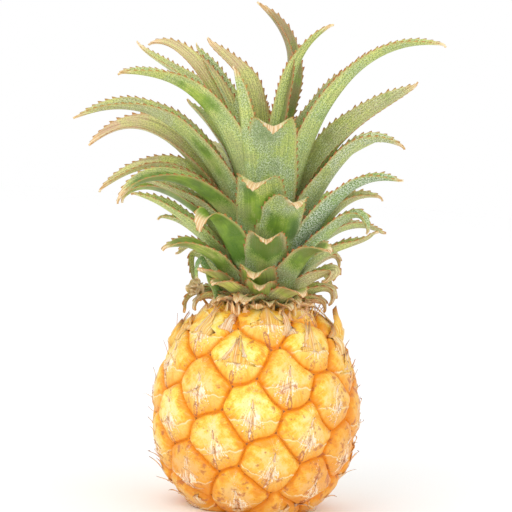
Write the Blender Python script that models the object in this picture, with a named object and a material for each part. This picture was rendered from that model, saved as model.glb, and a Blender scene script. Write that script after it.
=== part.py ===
"""A small pineapple standing on its cut base: the fruit, its leafy crown and the stub of its stalk.

The fruit is a barrel covered with eyes set on a spiral, each a dome with a bract that ends in
a spine. The crown is a short stem with channelled, spiny leaves sunk into it. All three are
solid, with a hair of clearance where they meet.
"""

import math

import bmesh
import bpy
import numpy as np
from mathutils import Vector

# Lengths are in millimetres until the meshes are made.
METRES = 0.001
CLEARANCE = 0.3

# The barrel's outline between the eyes' grooves and their crests, as (height, radius).
BARREL = (
    (-4, 0), (-3, 12), (0, 21.5), (5, 28.6), (15.5, 37.4), (29, 42), (43, 43.4),
    (58, 41.3), (74.5, 34.6), (84, 25.5), (88, 17), (90, 8), (90.5, 0),
)
BARREL_CENTRE = 44.0

# The eyes follow one spiral: a fixed turn and a fixed share of skin from each to the next.
EYE_TURN = 137.5077
EYE_AREA = 473.0
FRONT_EYE_HEIGHT = 45.2
FRONT_EYE_AZIMUTH = -92.0
DOME_HEIGHT = 1.7
GROOVE_DEPTH = 1.9
BRACT_STEP = 0.7
SPINE_LENGTH = 3.4
NECK_SPINE_LENGTH = 6.0

# Where the crown and the stalk meet the fruit.
DISH_RADIUS = 15.6
DISH_FLOOR = 85.6
STALK_RADIUS = 8.5
STALK_LENGTH = 4.0

# The crown's stem, as (height, radius) up to its growing point.
STEM_BASE = DISH_FLOOR + CLEARANCE
STEM = (
    (STEM_BASE, DISH_RADIUS - CLEARANCE), (92, 14.5), (102, 11.5), (116, 9), (132, 6.5), (146, 3),
)
STEM_TOP = 150
STEM_SIDES = 12
ROOT_DEPTH = 0.55

# Leaf blades: thick along the keel, thin at the margins, a spine on each margin per stretch.
KEEL_THICKNESS = 1.6
MARGIN_THICKNESS = 0.7
STRETCH_LENGTH = 12.5
LEAF_SPINE = 1.4
ROOT_WIDTH = 0.42

# Each leaf rises from the stem at an azimuth (0 to the right, -90 to the front) and a height,
# starts at a slope in degrees and ends at another at its tip, which lies at a reach and a
# height. A pull says how far each slope is held. Width is across the flattened blade, fold
# lifts its halves into a channel, taper says how late it narrows and roll turns it over.
#    azimuth, root height, slope, pull, reach, tip height, tip slope, tip pull,
#    width, fold, taper, roll
LEAVES = {
    "top_brown": (175, 138, 100, 45, 10, 221, 35, 35, 20, 34, 2.6, 20),
    "top_right": (-25, 134, 92, 50, 24, 212, 30, 20, 20, 32, 2.0, -10),
    "top_pink": (160, 134, 84, 58, 34, 204, 38, 25, 20, 32, 2.2, 30),
    "top_front": (-125, 118, 72, 35, 30, 193, 60, 20, 19, 34, 2.0, 10),
    "thin_left": (150, 130, 76, 40, 40, 199, 45, 20, 17, 36, 2.2, 25),
    "yellow": (158, 132, 70, 48, 60, 201, -15, 18, 20, 36, 2.2, 30),
    "back_thin": (140, 134, 72, 55, 84, 202, 55, 12, 18, 40, 1.8, 10),
    "big_left": (-155, 120, 78, 50, 71, 187, -8, 35, 25, 36, 2.4, 8),
    "long_left": (-172, 116, 66, 58, 87, 166, -30, 36, 25, 40, 2.0, 15),
    "pink_left": (170, 116, 56, 50, 82, 154, -46, 35, 24, 36, 2.2, 40),
    "small_back": (150, 116, 52, 25, 62, 148, -10, 20, 12, 36, 2.0, 20),
    "mid_a": (176, 114, 58, 47, 77, 136, -28, 30, 20, 36, 2.0, 20),
    "mid_b": (-160, 108, 72, 40, 68, 133, -60, 23, 22, 38, 2.2, 15),
    "mid_c": (172, 104, 56, 30, 64, 133, -50, 18, 17, 36, 2.0, 15),
    "mid_d": (-178, 106, 62, 28, 56, 141, 5, 18, 16, 38, 2.0, 15),
    "mid_e": (-172, 98, 50, 24, 58, 135, 10, 20, 17, 40, 2.0, 20),
    "mid_f": (172, 98, 42, 18, 46, 125, 0, 14, 14, 38, 2.0, 15),
    "front_left": (-130, 98, 52, 28, 44, 124, -75, 15, 21, 30, 3.2, 10),
    "low_left": (-155, 92, 55, 20, 46, 114, -18, 16, 18, 36, 2.4, 15),
    "curled_left": (178, 92, 45, 30, 30, 98, -110, 20, 12, 36, 2.2, 0),
    "long_right": (-15, 116, 84, 66, 72, 207, -6, 34, 24, 44, 2.0, -12),
    "broad_right": (8, 118, 70, 52, 61, 188, 32, 28, 24, 30, 2.2, -35),
    "mid_right": (-8, 112, 66, 46, 56, 160, -45, 22, 24, 40, 2.2, -8),
    "dark_right": (-22, 100, 62, 42, 59, 148, -10, 22, 21, 40, 2.0, -10),
    "pinkish_right": (-10, 100, 55, 26, 48, 140, -10, 18, 17, 38, 2.0, -18),
    "curl_right": (-20, 96, 58, 25, 46, 127, -70, 17, 18, 38, 2.2, -12),
    "dry_right": (-5, 96, 56, 28, 46, 123, 45, 8, 14, 38, 2.0, -10),
    "hook_right_a": (5, 95, 45, 16, 33, 109, -80, 10, 12, 38, 2.2, -10),
    "hook_right_b": (-28, 92, 46, 20, 31, 103, -140, 14, 18, 34, 2.0, -15),
    "hook_right_c": (-8, 90, 38, 12, 31, 94, -95, 9, 13, 38, 2.2, -10),
    "hook_right_d": (-12, 89, 30, 8, 28, 91, -70, 6, 12, 34, 2.2, 0),
    "centre": (-90, 102, 86, 50, 44, 168, -32, 30, 24, 36, 5.0, 0),
    "centre_left": (-100, 100, 74, 34, 41, 143, -45, 20, 22, 36, 5.0, 0),
    "centre_right": (-72, 98, 68, 26, 40, 133, -42, 18, 22, 36, 5.0, 0),
    "front_mid": (-90, 92, 60, 20, 40, 117, -45, 14, 21, 34, 5.0, 0),
    "front_right": (-50, 92, 50, 24, 41, 117, -10, 14, 20, 34, 3.0, -10),
    "front_low": (-97, 90, 50, 15, 36, 103, -50, 12, 18, 30, 5.0, 0),
    "front_base": (-93, 89, 42, 12, 33, 98, -60, 8, 16, 28, 4.0, 0),
    "low_front_left": (-150, 90, 42, 12, 31, 104, 5, 8, 15, 30, 3.0, 0),
    "base_front_left": (-128, 89, 36, 12, 33, 100, 0, 8, 15, 28, 3.0, 0),
    "base_front_right": (-60, 89, 34, 10, 32, 98, -10, 8, 18, 26, 3.0, 0),
    "base_front": (-104, 88.5, 30, 8, 30, 93, -30, 8, 13, 26, 3.0, 0),
    "curl_left": (178, 90, 38, 14, 34, 86, -100, 9, 12, 34, 2.2, 0),
    "curl_left_b": (-166, 89, 32, 10, 30, 89, -70, 7, 12, 30, 2.2, 0),
}

# The leaves at the back, from the top down, spread over the azimuths that the front leaves.
BACK_LEAVES = 20
BACK_FROM, BACK_SPREAD = 22, 136


def clear_scene():
    for old in list(bpy.data.objects):
        bpy.data.objects.remove(old, do_unlink=True)


def material(name, colour, roughness):
    made = bpy.data.materials.new(name)
    made.use_nodes = True
    shader = made.node_tree.nodes["Principled BSDF"]
    shader.inputs["Base Color"].default_value = (*colour, 1)
    shader.inputs["Roughness"].default_value = roughness
    shader.inputs["Metallic"].default_value = 0
    return made


def add_object(name, mesh, collection=None):
    made = bpy.data.objects.new(name, mesh)
    (collection or bpy.context.scene.collection).objects.link(made)
    return made


def mesh_from(name, bm):
    bmesh.ops.scale(bm, vec=(METRES, METRES, METRES), verts=bm.verts)
    mesh = bpy.data.meshes.new(name)
    bm.to_mesh(mesh)
    bm.free()
    return mesh


def turned(name, outline, sides):
    """A solid turned about Z from an outline of (radius, height) that starts and ends on the axis."""
    bm = bmesh.new()
    points = [bm.verts.new((r, 0, z)) for r, z in outline]
    edges = [bm.edges.new(pair) for pair in zip(points, points[1:])]
    bmesh.ops.spin(bm, geom=points + edges, axis=(0, 0, 1), cent=(0, 0, 0),
                   angle=2 * math.pi, steps=sides, use_merge=True)
    bmesh.ops.remove_doubles(bm, verts=bm.verts, dist=0.001)
    bmesh.ops.recalc_face_normals(bm, faces=bm.faces)
    return mesh_from(name, bm)


def subtract(target, outline, name, sides=40):
    """Cuts a turned shape away from the target."""
    cutter = add_object(name, turned(name, outline, sides))
    cutter.hide_render = True
    cutter.display_type = "WIRE"
    cut = target.modifiers.new(name, "BOOLEAN")
    cut.operation = "DIFFERENCE"
    cut.object = cutter


# The barrel

def smooth_outline(points, steps=24):
    """Points along a rounded line through the given ones."""
    ends = [points[0], *points, points[-1]]
    line = []
    for before, start, end, after in zip(ends, ends[1:], ends[2:], ends[3:]):
        for step in range(steps):
            t = step / steps
            line.append([
                0.5 * (2 * b + (c - a) * t + (2 * a - 5 * b + 4 * c - d) * t**2
                       + (3 * b - a - 3 * c + d) * t**3)
                for a, b, c, d in zip(before, start, end, after)
            ])
    line.append(list(points[-1]))
    return np.array(line, float)


class Barrel:
    """The fruit's skin: a surface that each ray from the fruit's centre meets once."""

    def __init__(self):
        line = smooth_outline(BARREL)
        heights, radii = line[:, 0], np.maximum(line[:, 1], 0)
        self.distances = np.hypot(radii, heights - BARREL_CENTRE)
        self.angles = np.arctan2(radii, BARREL_CENTRE - heights)
        steps = np.hypot(np.diff(heights), np.diff(radii))
        rings = math.pi * (radii[1:] + radii[:-1]) * steps
        self.areas = np.concatenate([[0], np.cumsum(rings)])
        self.heights, self.radii = heights, radii

    def onto(self, point):
        """The skin's point on the ray from the centre through this one."""
        ray = Vector(point) - Vector((0, 0, BARREL_CENTRE))
        angle = math.atan2(math.hypot(ray.x, ray.y), -ray.z)
        length = float(np.interp(angle, self.angles, self.distances))
        return Vector((0, 0, BARREL_CENTRE)) + ray.normalized() * length

    def normal(self, point):
        """The outward direction of the skin at a point on it."""
        around = Vector((-point.y, point.x, 0))
        if around.length < 0.01:
            return Vector((0, 0, 1 if point.z > BARREL_CENTRE else -1))
        around.normalize()
        lean = Vector((0, 0, 0.5))
        along = self.onto(point + lean) - self.onto(point - lean)
        if along.length < 0.01:
            outward = Vector((point.x, point.y, 0)).normalized()
            along = (self.onto(point - outward) - self.onto(point + outward)) * (
                1 if point.z > BARREL_CENTRE else -1)
        return around.cross(along).normalized()

    def eyes(self):
        """The centres of the eyes, from the base up."""
        front = float(np.interp(FRONT_EYE_HEIGHT, self.heights, self.areas))
        first = -int((front - 0.35 * EYE_AREA) / EYE_AREA)
        last = int((self.areas[-1] - front - 0.35 * EYE_AREA) / EYE_AREA)
        centres = []
        for index in range(first, last + 1):
            area = front + index * EYE_AREA
            height = float(np.interp(area, self.areas, self.heights))
            radius = float(np.interp(area, self.areas, self.radii))
            azimuth = math.radians(FRONT_EYE_AZIMUTH + index * EYE_TURN)
            centres.append(Vector((radius * math.cos(azimuth), radius * math.sin(azimuth), height)))
        return centres


def eye_relief(share, upward):
    """How far an eye stands out, from its centre (share 0) to its groove (share 1).

    upward is 1 towards the top of the eye and -1 towards its foot, where the bract lies.
    """
    dome = DOME_HEIGHT * (1 - share**3)
    groove = -GROOVE_DEPTH * max(0, (share - 0.82) / 0.18)
    bract = BRACT_STEP * max(0, -upward) * (1 - share)
    return dome + groove + bract


def spine_tip(centre, outward, up):
    """The end of the bract's spine, which leans up and further near the neck."""
    neck = min(max((centre.z - 66) / 14, 0), 1)
    length = SPINE_LENGTH + (NECK_SPINE_LENGTH - SPINE_LENGTH) * neck
    length *= min(max((math.hypot(centre.x, centre.y) - DISH_RADIUS) / 8, 0.2), 1)
    lean = (outward * (1 - 0.45 * neck) + up * (0.55 + 0.5 * neck)).normalized()
    return centre + outward * DOME_HEIGHT + lean * length


def fruit_mesh():
    barrel = Barrel()
    hull = bmesh.new()
    for centre in barrel.eyes():
        hull.verts.new(centre)
    bmesh.ops.convex_hull(hull, input=hull.verts)
    bmesh.ops.triangulate(hull, faces=hull.faces)
    bmesh.ops.recalc_face_normals(hull, faces=hull.faces)

    # Eyes meet in threes, one meeting point over each triangle between their centres.
    bm = bmesh.new()
    meeting = {}
    for face in hull.faces:
        spot = barrel.onto(face.calc_center_median())
        meeting[face] = bm.verts.new(spot - barrel.normal(spot) * GROOVE_DEPTH)
    between = {}
    for edge in hull.edges:
        first, second = (barrel.onto(meeting[face].co) for face in edge.link_faces)
        spot = barrel.onto((first + second) / 2)
        between[edge] = bm.verts.new(spot - barrel.normal(spot) * GROOVE_DEPTH)

    for eye in hull.verts:
        centre = barrel.onto(eye.co)
        outward = barrel.normal(centre)
        up = (Vector((0, 0, 1)) - outward * outward.z).normalized()
        side = up.cross(outward)
        rim = [meeting[face] for face in eye.link_faces] + [between[edge] for edge in eye.link_edges]
        rim.sort(key=lambda v: math.atan2((v.co - centre).dot(up), (v.co - centre).dot(side)))
        outer = rim
        for share in (0.82, 0.5, 0.16):
            ring = []
            for corner in rim:
                flat = barrel.onto(centre.lerp(barrel.onto(corner.co), share))
                across = (corner.co - centre).normalized()
                height = eye_relief(share, across.dot(up))
                ring.append(bm.verts.new(flat + barrel.normal(flat) * height))
            if share == 0.16:
                ring = ring[::2]
            for spot, corner in enumerate(outer):
                after = (spot + 1) % len(outer)
                if len(ring) == len(outer):
                    bm.faces.new((corner, outer[after], ring[after], ring[spot]))
                elif spot % 2 == 0:
                    near = ring[spot // 2]
                    beyond = ring[(spot // 2 + 1) % len(ring)]
                    last = outer[(spot + 2) % len(outer)]
                    bm.faces.new((corner, outer[after], near))
                    bm.faces.new((outer[after], beyond, near))
                    bm.faces.new((outer[after], last, beyond))
            outer = ring
        tip = bm.verts.new(spine_tip(centre, outward, up))
        for spot, corner in enumerate(outer):
            bm.faces.new((corner, outer[(spot + 1) % len(outer)], tip))
    hull.free()
    bmesh.ops.delete(bm, geom=[v for v in bm.verts if not v.link_faces], context="VERTS")
    bmesh.ops.triangulate(bm, faces=bm.faces)
    bmesh.ops.recalc_face_normals(bm, faces=bm.faces)
    return mesh_from("fruit", bm)


# The crown

def stem_radius(height):
    heights, radii = zip(*STEM)
    return float(np.interp(height, heights, radii))


def blade_width(share, width, taper):
    """The blade widens from its root, holds, and narrows to its tip."""
    growth = ROOT_WIDTH + (1 - ROOT_WIDTH) * math.sin(min(share / 0.25, 1) * math.pi / 2)
    return width * growth * max(1 - share**taper, 0) ** 0.85


def blade_line(leaf):
    """Even points (out, up) and directions along the middle of a leaf, root first."""
    root, slope, pull, reach, tip, tip_slope, tip_pull = leaf[1:8]
    start, end = math.radians(slope), math.radians(tip_slope)
    first = np.array([stem_radius(root) * ROOT_DEPTH, root])
    last = np.array([reach, tip], float)
    second = first + pull * np.array([math.cos(start), math.sin(start)])
    third = last - tip_pull * np.array([math.cos(end), math.sin(end)])
    t = np.linspace(0, 1, 201)[:, None]
    curve = ((1 - t) ** 3 * first + 3 * (1 - t) ** 2 * t * second
             + 3 * (1 - t) * t**2 * third + t**3 * last)
    run = np.concatenate([[0], np.cumsum(np.linalg.norm(np.diff(curve, axis=0), axis=1))])
    stretches = min(max(round(run[-1] / STRETCH_LENGTH), 4), 12)
    even = np.linspace(0, run[-1], stretches + 1)
    line = np.stack([np.interp(even, run, curve[:, 0]), np.interp(even, run, curve[:, 1])], axis=1)
    headings = np.gradient(line, axis=0)
    return line, headings / np.linalg.norm(headings, axis=1)[:, None]


def blade(name, leaf, collection):
    """One channelled leaf with a spine on each margin of every stretch."""
    azimuth = math.radians(leaf[0])
    width, fold, taper, roll = leaf[8:]
    line, headings = blade_line(leaf)
    outward = Vector((math.cos(azimuth), math.sin(azimuth), 0))
    upward = Vector((0, 0, 1))
    flank = Vector((-math.sin(azimuth), math.cos(azimuth), 0))
    lift_angle = math.radians(fold)
    bm = bmesh.new()
    rings = []
    stretches = len(line) - 1
    for spot in range(stretches):
        share = spot / stretches
        along = outward * headings[spot][0] + upward * headings[spot][1]
        face = along.cross(flank)
        turn = math.radians(roll) * min(share / 0.8, 1)
        across = flank * math.cos(turn) - face * math.sin(turn)
        face = face * math.cos(turn) + flank * math.sin(turn)
        middle = outward * line[spot][0] + upward * line[spot][1]
        half = max(blade_width(share, width, taper) / 2, 1.0)
        lift = face * half * math.sin(lift_angle) / 2
        spread = across * half * math.cos(lift_angle)
        slim = 1 - 0.35 * share
        keel, margin = face * KEEL_THICKNESS * slim / 2, face * MARGIN_THICKNESS / 2
        rings.append([bm.verts.new(middle + offset) for offset in (
            spread + lift + margin, -lift + keel, -spread + lift + margin,
            -spread + lift - margin, -lift - keel, spread + lift - margin)])
    tip = bm.verts.new(outward * line[-1][0] + upward * line[-1][1])
    margins = []
    for spot, (low, high) in enumerate(zip(rings, rings[1:])):
        # Both faces are split the same way, so that they never cross.
        for a, b in ((0, 1), (4, 5)):
            bm.faces.new((low[a], low[b], high[b]))
            bm.faces.new((low[a], high[b], high[a]))
        for a, b in ((1, 2), (3, 4)):
            bm.faces.new((low[a], low[b], high[a]))
            bm.faces.new((low[b], high[b], high[a]))
        margins += [bm.faces.new((low[a], low[b], high[b], high[a])) for a, b in ((2, 3), (5, 0))]
    for a in range(6):
        bm.faces.new((rings[-1][a], rings[-1][(a + 1) % 6], tip))
    bm.faces.new(rings[0][::-1])
    bmesh.ops.recalc_face_normals(bm, faces=bm.faces)
    spined = [face for face in margins if stem_radius(face.calc_center_median().z) + 2.5
              < math.hypot(face.calc_center_median().x, face.calc_center_median().y)]
    poked = bmesh.ops.poke(bm, faces=spined, offset=LEAF_SPINE, use_relative_offset=False)
    for point in poked["verts"]:
        ahead = min(rings[1:], key=lambda ring: (ring[1].co - point.co).length)
        drift = (ahead[1].co - rings[rings.index(ahead) - 1][1].co).normalized()
        point.co += drift * 1.4
    bmesh.ops.triangulate(bm, faces=[face for face in bm.faces if len(face.verts) > 3])
    bmesh.ops.recalc_face_normals(bm, faces=bm.faces)
    return add_object(name, mesh_from(name, bm), collection)


def back_leaves():
    """Leaves by rule for the hidden side: long and steep at the top, short and hooked at the neck."""
    made = {}
    for index in range(BACK_LEAVES):
        drop = index / (BACK_LEAVES - 1)
        azimuth = BACK_FROM + BACK_SPREAD * ((index * 0.618034) % 1)
        root = 128 - 38.5 * drop**0.7
        reach = 36 - 4 * drop + 112 * drop * (1 - drop)
        tip = 196 - 101 * drop**0.85
        chord = math.hypot(reach, tip - root)
        made[f"back_{index}"] = (
            azimuth, root, 82 - 44 * drop, 0.45 * chord, reach, tip, 45 - 105 * drop, 0.3 * chord,
            21 - 8 * drop**2, 36 - 6 * drop, 2.2, 0)
    return made


def keep_outside(bm):
    """Drops the walls of sealed hollows and loose scraps, and keeps the one outer body."""
    bm.verts.ensure_lookup_table()
    left, bodies = set(bm.faces), []
    while left:
        found, reached = set(), [left.pop()]
        while reached:
            face = reached.pop()
            found.add(face)
            for edge in face.edges:
                for other in edge.link_faces:
                    if other in left:
                        left.remove(other)
                        reached.append(other)
        bodies.append(found)
    bodies.sort(key=len)
    for scrap in bodies[:-1]:
        bmesh.ops.delete(bm, geom=list(scrap), context="FACES")
    bmesh.ops.delete(bm, geom=[v for v in bm.verts if not v.link_faces], context="VERTS")


def crown_object():
    outline = [(0, STEM_BASE)] + [(r, z) for z, r in STEM] + [(0, STEM_TOP)]
    crown = add_object("crown", turned("crown", outline, STEM_SIDES))
    leaves = bpy.data.collections.new("leaves")
    bpy.context.scene.collection.children.link(leaves)
    for name, leaf in {**LEAVES, **back_leaves()}.items():
        blade(name, leaf, leaves)
    join = crown.modifiers.new("leaves", "BOOLEAN")
    join.operation = "UNION"
    join.operand_type = "COLLECTION"
    join.collection = leaves
    join.solver = "MANIFOLD"
    graph = bpy.context.evaluated_depsgraph_get()
    joined = bmesh.new()
    joined.from_object(crown, graph)
    keep_outside(joined)
    crown.modifiers.clear()
    joined.to_mesh(crown.data)
    joined.free()
    for leaf in list(leaves.objects):
        bpy.data.objects.remove(leaf, do_unlink=True)
    bpy.data.collections.remove(leaves)
    return crown


def main():
    clear_scene()

    fruit = add_object("fruit", fruit_mesh())
    subtract(fruit, [(0, -20), (60, -20), (60, 0), (0, 0)], "flat_base")
    subtract(fruit, [(0, DISH_FLOOR), (DISH_RADIUS, DISH_FLOOR), (DISH_RADIUS, 110), (0, 110)], "crown_dish")
    recess = (STALK_RADIUS + CLEARANCE, STALK_LENGTH + CLEARANCE)
    subtract(fruit, [(0, -1), (recess[0], -1), recess, (0, recess[1])], "stalk_recess")
    fruit.data.materials.append(material("fruit", (0.86, 0.50, 0.06), 0.45))

    crown = crown_object()
    crown.data.materials.append(material("crown", (0.20, 0.33, 0.10), 0.55))

    stub = [(0, 0), (STALK_RADIUS, 0), (STALK_RADIUS, STALK_LENGTH - 1),
            (STALK_RADIUS - 1, STALK_LENGTH), (0, STALK_LENGTH)]
    stalk = add_object("cut_stalk", turned("cut_stalk", stub, 32))
    stalk.data.materials.append(material("cut_stalk", (0.62, 0.50, 0.28), 0.85))

    for piece in (fruit, crown, stalk):
        piece.data.shade_smooth()
        piece.data.set_sharp_from_angle(angle=math.radians(40))


main()
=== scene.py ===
import functools
import math

import bmesh
import bpy
import numpy as np
from mathutils import Matrix, Vector


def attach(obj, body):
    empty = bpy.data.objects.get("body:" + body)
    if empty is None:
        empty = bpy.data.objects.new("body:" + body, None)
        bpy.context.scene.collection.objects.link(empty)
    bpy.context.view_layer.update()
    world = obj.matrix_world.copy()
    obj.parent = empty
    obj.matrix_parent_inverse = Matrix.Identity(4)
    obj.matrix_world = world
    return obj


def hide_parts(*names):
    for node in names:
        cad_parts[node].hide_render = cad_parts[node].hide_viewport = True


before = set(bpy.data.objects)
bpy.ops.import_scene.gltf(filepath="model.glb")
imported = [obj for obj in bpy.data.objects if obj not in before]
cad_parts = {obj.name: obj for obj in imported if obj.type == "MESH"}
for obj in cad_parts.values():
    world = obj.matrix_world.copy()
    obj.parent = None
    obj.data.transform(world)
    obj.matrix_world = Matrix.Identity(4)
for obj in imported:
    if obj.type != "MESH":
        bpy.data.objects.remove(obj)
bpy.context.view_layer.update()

mm = 0.001  # shapes are worked out in millimetres and scaled when a mesh is made


def linearColour(hexColour):
    # an sRGB hex value as the linear colour that a shader takes
    parts = [int(hexColour[i:i + 2], 16) / 255 for i in (1, 3, 5)]
    return (*[p / 12.92 if p <= 0.04045 else ((p + 0.055) / 1.055) ** 2.4 for p in parts], 1)


def addNode(tree, kind, links=(), stops=(), **settings):
    # adds a node with its settings, its socket values or links, and a ramp's colour stops; links are
    # a dictionary or the first sockets in order, and a node given as a link stands for its first output
    node = tree.nodes.new("ShaderNode" + kind)
    for key, value in settings.items():
        setattr(node, key, value)
    for key, value in links.items() if isinstance(links, dict) else enumerate(links):
        if isinstance(value, bpy.types.Node):
            value = next(socket for socket in value.outputs if socket.enabled)
        if isinstance(value, bpy.types.NodeSocket):
            tree.links.new(value, node.inputs[key])
        else:
            node.inputs[key].default_value = linearColour(value) if isinstance(value, str) else value
    for spot, (place, colour) in enumerate(stops):
        stop = node.color_ramp.elements[spot] if spot < 2 else node.color_ramp.elements.new(place)
        stop.position, stop.color = place, linearColour(colour)
    return node


def newMaterial(name):
    # an empty material, and addNode for its own nodes
    made = bpy.data.materials.new(name)
    made.use_nodes = True
    made.node_tree.nodes.clear()
    return made, functools.partial(addNode, made.node_tree)


def addPiece(name, mesh, node, look):
    piece = bpy.data.objects.new(name, mesh)
    bpy.context.scene.collection.objects.link(piece)
    mesh.materials.append(look)
    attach(piece, "root")
    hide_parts(node)
    print("made", name, "with", len(mesh.polygons), "faces")


def smoothStep(low, high, value):
    share = np.clip((value - low) / (high - low), 0, 1)
    return share * share * (3 - 2 * share)


def setAll(data, key, columns):
    data.foreach_set(key, np.column_stack(columns).astype(np.float32).ravel())


# the barrel that every eye sits on
barrel = {
    "outline": ((-4, 0), (-3, 12), (0, 21.5), (5, 28.6), (15.5, 37.4), (29, 42), (43, 43.4),
                (58, 41.3), (74.5, 34.6), (84, 25.5), (88, 17), (90, 8), (90.5, 0)),
    "centre": 44.0, "eyeTurn": 137.5077, "eyeArea": 473.0, "frontEye": (45.2, -92.0),
    "dishRadius": 15.6, "dishFloor": 85.6, "stalkRadius": 8.8, "stalkDepth": 4.3, "endShare": 0.35,
}
goldenShare = 0.618034  # spreads leaves and scales evenly round the stem
chunk = 60000  # points measured at once


def smoothOutline(points, steps=24):
    ends = [points[0], *points, points[-1]]
    line = []
    for before, start, end, after in zip(ends, ends[1:], ends[2:], ends[3:]):
        for step in range(steps):
            t = step / steps
            line.append([0.5 * (2 * b + (c - a) * t + (2 * a - 5 * b + 4 * c - d) * t**2
                                + (3 * b - a - 3 * c + d) * t**3)
                         for a, b, c, d in zip(before, start, end, after)])
    line.append(list(points[-1]))
    return np.array(line, float)


outline = smoothOutline(barrel["outline"])
outlineHeights, outlineRadii = outline[:, 0], np.maximum(outline[:, 1], 0)
outlineReach = np.hypot(outlineRadii, outlineHeights - barrel["centre"])
outlineAngles = np.arctan2(outlineRadii, barrel["centre"] - outlineHeights)
outlineSlope = np.gradient(outline, axis=0)
outlineSlope /= np.linalg.norm(outlineSlope, axis=1)[:, None]
rings = math.pi * (outlineRadii[1:] + outlineRadii[:-1]) * np.hypot(np.diff(outlineHeights), np.diff(outlineRadii))
outlineAreas = np.concatenate([[0], np.cumsum(rings)])


def onBarrel(points):
    # the skin's points and outward directions on the rays from the fruit's centre
    ray = np.atleast_2d(points) - (0, 0, barrel["centre"])
    flat = np.hypot(ray[:, 0], ray[:, 1])
    angle = np.arctan2(flat, -ray[:, 2])
    reach = np.interp(angle, outlineAngles, outlineReach)
    spot = (0, 0, barrel["centre"]) + ray / np.linalg.norm(ray, axis=1)[:, None] * reach[:, None]
    outwards = np.interp(angle, outlineAngles, outlineSlope[:, 0])
    upwards = np.interp(angle, outlineAngles, -outlineSlope[:, 1])
    around = ray[:, :2] / np.maximum(flat, 1e-6)[:, None]
    normal = np.column_stack([around * outwards[:, None], upwards])
    return spot, normal / np.linalg.norm(normal, axis=1)[:, None]


def eyeCentres():
    height, azimuth = barrel["frontEye"]
    front = np.interp(height, outlineHeights, outlineAreas)
    each, least = barrel["eyeArea"], barrel["endShare"] * barrel["eyeArea"]
    index = np.arange(-int((front - least) / each), int((outlineAreas[-1] - front - least) / each) + 1)
    area = front + index * each
    radius = np.interp(area, outlineAreas, outlineRadii)
    turn = np.radians(azimuth + index * barrel["eyeTurn"])
    height = np.interp(area, outlineAreas, outlineHeights)
    return np.column_stack([radius * np.cos(turn), radius * np.sin(turn), height])


eyes, eyeOut = onBarrel(eyeCentres())
eyeUp = np.array([0, 0, 1]) - eyeOut * eyeOut[:, 2:]
eyeUp /= np.linalg.norm(eyeUp, axis=1)[:, None]
eyeDice = np.random.default_rng(7)
eyeSeed = eyeDice.random((len(eyes), 6))
eyeTilt = np.radians(eyeDice.normal(0, 5, len(eyes)))  # bracts lean a little, as dried ones do
eyeSide = np.cross(eyeUp, eyeOut)
eyeUp, eyeSide = (eyeUp * np.cos(eyeTilt)[:, None] + eyeSide * np.sin(eyeTilt)[:, None],
                  eyeSide * np.cos(eyeTilt)[:, None] - eyeUp * np.sin(eyeTilt)[:, None])


def eyeDistances(points):
    # squared distances to the eyes; an eye reaches further up than down, which arches its dome
    points = points + rind["waver"] * np.sin(points[:, (1, 2, 0)] * 0.55 + (0.3, 1.9, 4.1))
    squared = (points ** 2).sum(axis=1)[:, None] + (eyes ** 2).sum(axis=1)[None] - 2 * points @ eyes.T
    upwards = points @ eyeUp.T - (eyes * eyeUp).sum(axis=1)[None]
    return squared - rind["arch"] * upwards * np.sqrt(np.maximum(squared, 1e-6))


def eyeOf(points):
    parts = np.array_split(points, 1 + len(points) // chunk)
    return np.concatenate([np.argmin(eyeDistances(part), axis=1) for part in parts])


def shareOf(points, eye):
    # near 0 at an eye's centre, 1 where it meets its neighbours
    apart = ((eyes[:, None] - eyes[None]) ** 2).sum(axis=2)
    np.fill_diagonal(apart, 1)
    shares = []
    pieces = 1 + len(points) // chunk
    for part, own in zip(np.array_split(points, pieces), np.array_split(eye, pieces)):
        away = eyeDistances(part)
        row = np.arange(len(part))
        share = np.clip((away[row, own][:, None] - away) / apart[own] + 1, 0, None)
        share[row, own] = 0
        shares.append((share ** rind["corner"]).sum(axis=1) ** (1 / rind["corner"]))
    return np.clip(np.concatenate(shares), 0, 1.1)


rind = {
    "dome": 2.3, "groove": 1.2, "grooveFrom": 0.93, "lip": 0.38, "lipSpread": (2.6, 1.0), "creaseHeight": -1.5,
    "creaseRise": 0.010, "creaseWaves": ((0.55, 0.62), (0.28, 1.7)), "arch": 0.36, "waver": 0.5, "corner": 16,
    "fibreTop": 8.4, "fibreRidge": 0.3, "fanAbove": 1.5, "scarDrop": 7.6, "scarWidth": 0.85, "wave": 0.14,
    "subdivisions": 7, "fineFrom": 0.86, "ripeBelow": 50, "shadedSide": (14, 44, 0.85),
}


def creaseGap(side, up, eye):
    # how far above the bract's lip a place lies; the lip is a wavy smile across the eye
    phase = eyeSeed[eye, 5] * 20
    waves = enumerate(rind["creaseWaves"], 1)
    wave = sum(size * np.sin(side * rate + phase * turn) for turn, (size, rate) in waves)
    return up - (rind["creaseHeight"] + rind["creaseRise"] * side ** 2 + wave)


def flameTop(draw):
    # the height of a bract's tip over its eye's centre, for an even draw from 0 to 1
    return rind["fibreTop"] - 2.6 + 3.2 * draw


def fibreGap(side, up, eye):
    # how far inside the bract's dried flame a place lies, in mm; no two eyes have the same
    top = flameTop(eyeSeed[eye, 5])
    wide = 0.7 + 0.6 * eyeSeed[eye, 3]
    bent = side - (eyeSeed[eye, 2] - 0.5) * 0.35 * (top - up)
    flame = 0.15 + (top - up) * 0.17 + np.maximum(3.6 - up, 0) * 0.62 * wide
    below = 4.0 * wide - (rind["creaseHeight"] - up) * 0.62
    return np.where(up > rind["creaseHeight"], flame, np.minimum(flame, below)) - np.abs(bent)


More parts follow.
